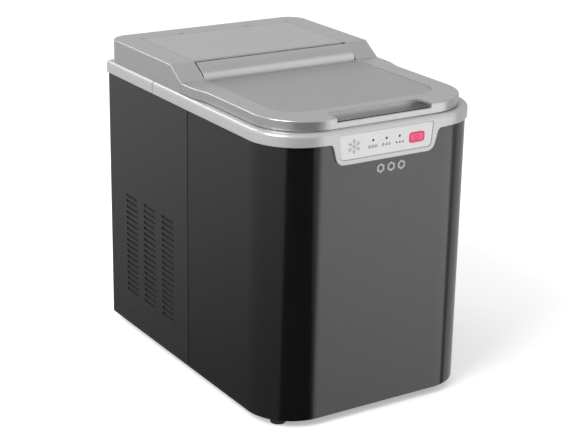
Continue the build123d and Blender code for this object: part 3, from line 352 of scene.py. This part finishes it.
slotFinish = {
    "black_paint": "blackPaint", "galvanised": "galvanised", "rubber": "rubber",
    "black_plastic": "blackPlastic", "rim_grey": "rimGrey", "silver_plastic": "silverPlastic",
    "silver_panel": "silverPanel", "inset_grey": "insetGrey", "white_plastic": "whitePlastic",
    "control_white": "controlWhite", "button_pink": "buttonPink", "lens_smoke": "lensSmoke",
    "board_green": "boardGreen", "emblem_silver": "emblemSilver", "foam": "foam",
    "basket_grey": "basketGrey", "bright_steel": "brightSteel", "motor_grey": "motorGrey",
    "sensor_black": "sensorBlack", "plated_copper": "platedCopper", "copper": "copper",
    "hose_clear": "hoseMilky", "compressor_black": "compressorBlack",
    "fin_aluminium": "finAluminium", "float_white": "floatWhite",
}

cloudScale = 18  # slow drift of tone, per metre
smudgeScale = 55  # patches of roughness and of the edge scuffing and painted highlight
edgeWearAndHighlightReach = 0.0007  # metres in from an edge that the scuffing and the painted highlight spread
wearAndHighlightBend = (0.8, 0.99)  # cosines between which an edge counts as sharp
wearAndHighlightSamples = 4
smudgeSpan = (0.3, 0.7)  # part of the smudge noise that varies the roughness
bumpDepth = 0.0002


def mixTone(tree, factor, first, second):
    mixer = tree.nodes.new("ShaderNodeMix")
    mixer.data_type = "RGBA"
    tree.links.new(factor, mixer.inputs[0])
    for socket, value in ((mixer.inputs[6], first), (mixer.inputs[7], second)):
        if isinstance(value, tuple):
            socket.default_value = (*value, 1)
        else:
            tree.links.new(value, socket)
    return mixer.outputs[2]


def noiseAt(tree, place, scale, detail=4):
    noise = tree.nodes.new("ShaderNodeTexNoise")
    noise.inputs["Scale"].default_value = scale
    noise.inputs["Detail"].default_value = detail
    tree.links.new(place, noise.inputs["Vector"])
    return noise.outputs["Fac"]


def ranged(tree, value, old, new):
    remap = tree.nodes.new("ShaderNodeMapRange")
    for name, number in zip(("From Min", "From Max", "To Min", "To Max"), (*old, *new)):
        remap.inputs[name].default_value = number
    tree.links.new(value, remap.inputs["Value"])
    return remap.outputs["Result"]


# sharp edges turn towards the edge colour: partly scuffing, partly a painted highlight where light catches the
# edges
def rubbedAndHighlitEdges(tree, amount, wearAndHighlightReach, smudge):
    soft = tree.nodes.new("ShaderNodeBevel")
    soft.samples = wearAndHighlightSamples
    soft.inputs["Radius"].default_value = wearAndHighlightReach
    plain = tree.nodes.new("ShaderNodeNewGeometry")
    turn = tree.nodes.new("ShaderNodeVectorMath")
    turn.operation = "DOT_PRODUCT"
    tree.links.new(soft.outputs["Normal"], turn.inputs[0])
    tree.links.new(plain.outputs["Normal"], turn.inputs[1])
    edge = ranged(tree, turn.outputs["Value"], wearAndHighlightBend, (amount, 0))
    patchy = tree.nodes.new("ShaderNodeMath")
    patchy.operation = "MULTIPLY"
    tree.links.new(edge, patchy.inputs[0])
    tree.links.new(smudge, patchy.inputs[1])
    return patchy.outputs["Value"]


def makeFinish(name, look):
    material = bpy.data.materials.new(name)
    material.use_nodes = True
    tree = material.node_tree
    shader = tree.nodes["Principled BSDF"]
    shader.inputs["Metallic"].default_value = look["metal"]
    shader.inputs["Specular IOR Level"].default_value = look.get("gloss", 0.5)
    place = tree.nodes.new("ShaderNodeTexCoord").outputs["Object"]
    cloud = noiseAt(tree, place, cloudScale)
    smudge = noiseAt(tree, place, smudgeScale)
    grain = noiseAt(tree, place, look["grain"], detail=2)
    tone = mixTone(tree, cloud, look["tone"], look["drift"])
    # edges mix in a lighter colour, partly scuffing and partly painted highlight
    rubbedAndHighlit = rubbedAndHighlitEdges(tree, look["wearAndHighlight"], look.get("wearAndHighlightReach", edgeWearAndHighlightReach), smudge)
    wornAndHighlit = mixTone(tree, rubbedAndHighlit, tone, look["wornAndHighlit"])
    tree.links.new(wornAndHighlit, shader.inputs["Base Color"])
    tree.links.new(ranged(tree, smudge, smudgeSpan, look["rough"]), shader.inputs["Roughness"])
    bump = tree.nodes.new("ShaderNodeBump")
    bump.inputs["Strength"].default_value = look["bump"]
    bump.inputs["Distance"].default_value = bumpDepth
    tree.links.new(grain, bump.inputs["Height"])
    tree.links.new(bump.outputs["Normal"], shader.inputs["Normal"])
    return material


finishes = {name: makeFinish(name, look) for name, look in finishLooks.items()}
for row in frame["record"]["subparts"]:
    node = nodes[row["node"]]
    finishName = slotFinish[row["material_slot"]]
    for slot in node.material_slots:
        slot.material = finishes[finishName]
# the side panels take the lighter copy of the black paint, as painted light on the sides
for name in ("left_side_panel", "right_side_panel"):
    for slot in nodes[name].material_slots:
        slot.material = finishes["sidePaintLit"]
print("finishes ready,", len(finishes))

# pieces on the control plate, and dark sheets behind the side vents that stand in for the shade inside them

def addPiece(name, bm, body, slotName, *finishNames):
    mesh = bpy.data.meshes.new(name)
    bm.to_mesh(mesh)
    bm.free()
    for finishName in finishNames:
        mesh.materials.append(finishes[finishName])
    piece = bpy.data.objects.new(name, mesh)
    bpy.context.scene.collection.objects.link(piece)
    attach(piece, body)
    return piece


def addBar(bm, centre, size, turn=0.0):
    made = bmesh.ops.create_cube(bm, size=1)["verts"]
    bmesh.ops.scale(bm, vec=size, verts=made)
    bmesh.ops.rotate(bm, cent=(0, 0, 0), matrix=Matrix.Rotation(turn, 3, "Y"), verts=made)
    bmesh.ops.translate(bm, vec=centre, verts=made)
    return made


def spinCopies(bm, verts, centre, count):
    edges = list({e for v in verts for e in v.link_edges})
    faces = list({f for v in verts for f in v.link_faces})
    bmesh.ops.spin(
        bm, geom=verts + edges + faces, cent=centre, axis=(0, 1, 0), angle=math.tau * (count - 1) / count,
        steps=count - 1, use_duplicate=True,
    )


def addRing(bm, centre, radius, width, depth, start=0.0, angle=math.tau, steps=40):
    corner = Vector(centre) + Matrix.Rotation(start, 3, "Y") @ Vector((0, 0, radius))
    out = Matrix.Rotation(start, 3, "Y") @ Vector((0, 0, 1))
    made = bmesh.ops.create_grid(bm, x_segments=1, y_segments=1, size=0.5)["verts"]
    for v in made:
        v.co = corner + out * (v.co.x * width) + Vector((0, v.co.y * depth, 0))
    face = made[0].link_faces[0]
    bmesh.ops.spin(
        bm, geom=[face, *face.edges, *made], cent=centre, axis=(0, 1, 0), angle=angle, steps=steps,
        use_merge=angle == math.tau,
    )


plateLow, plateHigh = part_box("control_plate")
buttonLow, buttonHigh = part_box("power_button")
plateFace = plateLow.y

snowflake = {
    "centre": (-0.0370, 0.2785), "arm": 0.0072, "width": 0.00085, "proud": 0.00006, "arms": 6,
    "twigs": ((0.5, 0.36), (0.78, 0.26)),  # place along the arm and length, as shares of the arm
    "twigTilt": 52, "twigWidth": 0.85,
}


def makeSnowflake(look):
    bm = bmesh.new()
    x, z = look["centre"]
    y = plateFace - look["proud"] / 2
    thick = (look["width"], look["proud"], 1)
    arm = addBar(bm, (x, y, z + look["arm"] / 2), (thick[0], thick[1], look["arm"]))
    for share, length in look["twigs"]:
        for side in (-1, 1):
            long = look["arm"] * length
            tilt = side * math.radians(look["twigTilt"])
            spot = z + look["arm"] * share
            arm += addBar(
                bm, (x + math.sin(tilt) * long / 2, y, spot + math.cos(tilt) * long / 2),
                (thick[0] * look["twigWidth"], thick[1], long), tilt,
            )
    spinCopies(bm, arm, (x, y, z), look["arms"])
    bmesh.ops.recalc_face_normals(bm, faces=bm.faces)
    addPiece("plate_snowflake", bm, "casing", "control_white", "inkGrey")


icons = {
    "height": 0.2756, "x": (-0.0158, -0.0003, 0.0152), "step": 0.0036, "proud": 0.00006, "line": 0.00048,
    "cubeSide": 0.0025, "cubeOff": 0.001, "dropRadius": 0.0009, "tipRise": 0.0015, "tipLong": 0.0008,
    "dotRadius": 0.0006, "dotLine": 0.0008,
}


def makeIcons(look):
    bm = bmesh.new()
    y = plateFace - look["proud"] / 2
    z, line = look["height"], look["line"]
    for column, x in enumerate(look["x"]):
        for place in (-1, 0, 1):
            spot = (x + place * look["step"], y, z)
            if column == 0:  # a row of ice cubes
                for off in (-look["cubeOff"], look["cubeOff"]):
                    addBar(bm, (spot[0] + off, y, z), (line, look["proud"], look["cubeSide"]))
                    addBar(bm, (spot[0], y, z + off), (look["cubeSide"], look["proud"], line))
            elif column == 1:  # drops of water
                addRing(bm, spot, look["dropRadius"], line, look["proud"], steps=16)
                addBar(bm, (spot[0], y, z + look["tipRise"]), (line, look["proud"], look["tipLong"]))
            else:  # running dots
                addRing(bm, spot, look["dotRadius"], look["dotLine"], look["proud"], steps=12)
    bmesh.ops.recalc_face_normals(bm, faces=bm.faces)
    addPiece("plate_icons", bm, "casing", "control_white", "inkDark")


button = {
    "size": (0.0178, 0.0036, 0.0102), "corner": 0.0030, "border": 0.0011, "dish": 0.00022, "round": 0.00045,
    "set": 0.00005, "sharp": 35,  # how far behind the CAD cap its face lies, and the angle that stays crisp
    "mark": 0.0023, "line": 0.0006, "markProud": 0.00006, "markLift": 0.00003,
    "markGap": 38, "barRise": 0.8, "barLong": 0.95,
}


def makeButton(look):
    bm = bmesh.new()
    size = Vector(look["size"])
    middle = (buttonLow + buttonHigh) / 2
    centre = Vector((middle.x, buttonLow.y + look["set"] + size.y / 2, middle.z))
    bmesh.ops.create_cube(bm, size=1)
    bmesh.ops.scale(bm, vec=size, verts=bm.verts)
    upright = [e for e in bm.edges if abs(e.verts[0].co.y - e.verts[1].co.y) > size.y / 2]
    bmesh.ops.bevel(
        bm, geom=upright, offset=look["corner"], segments=8, profile=0.5, affect="EDGES", material=-1,
    )
    face = min(bm.faces, key=lambda f: f.calc_center_median().y)
    bmesh.ops.bevel(
        bm, geom=list(face.edges), offset=look["round"], segments=4, profile=0.5, affect="EDGES", material=-1,
    )
    face = min(bm.faces, key=lambda f: f.calc_center_median().y)
    bmesh.ops.inset_region(bm, faces=[face], thickness=look["border"])
    for edgeFace in bm.faces:
        edgeFace.material_index = 1
    bmesh.ops.inset_region(bm, faces=[face], thickness=look["dish"], depth=-look["dish"])
    face.material_index = 0
    for each in bm.faces:
        each.smooth = True
    bmesh.ops.translate(bm, vec=centre, verts=bm.verts)
    cap = addPiece("button_cap", bm, "button", "button_pink", "buttonPink", "buttonEdge")
    cap.data.set_sharp_from_angle(angle=math.radians(look["sharp"]))
    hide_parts("power_button")
    mark = bmesh.new()
    y = centre.y - size.y / 2 + look["dish"] - look["markLift"]
    gap = math.radians(look["markGap"])
    spot = (centre.x, y, centre.z)
    addRing(mark, spot, look["mark"], look["line"], look["markProud"], gap, math.tau - 2 * gap, 30)
    bar = (look["line"], look["markProud"], look["mark"] * look["barLong"])
    addBar(mark, (centre.x, y, centre.z + look["mark"] * look["barRise"]), bar)
    bmesh.ops.recalc_face_normals(mark, faces=mark.faces)
    addPiece("button_mark", mark, "button", "button_pink", "inkRed")


makeSnowflake(snowflake)
makeIcons(icons)
makeButton(button)
print("control face ready")

# dark sheets just inside the side vents: painted shade for the dark interior seen through the slots
ventShadeSheet = {"inset": 0.0016, "thick": 0.0008, "corner": 0.006, "y": (0.018, 0.136), "z": (0.042, 0.164)}


def makeVentShadeSheets(look):
    bm = bmesh.new()
    for node, side in (("left_side_panel", -1), ("right_side_panel", 1)):
        low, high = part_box(node)
        outer = low.x if side < 0 else high.x
        middle = (outer - side * (look["inset"] + look["thick"] / 2), sum(look["y"]) / 2, sum(look["z"]) / 2)
        size = (look["thick"], look["y"][1] - look["y"][0], look["z"][1] - look["z"][0])
        made = addBar(bm, middle, size)
        touching = {e for v in made for e in v.link_edges}
        across = [e for e in touching if abs(e.verts[0].co.x - e.verts[1].co.x) > look["thick"] / 2]
        bmesh.ops.bevel(
            bm, geom=across, offset=look["corner"], segments=6, profile=0.5, affect="EDGES", material=-1,
        )
    addPiece("vent_shade_sheets", bm, "casing", "rubber", "rubber")


makeVentShadeSheets(ventShadeSheet)
print("vent screens ready")
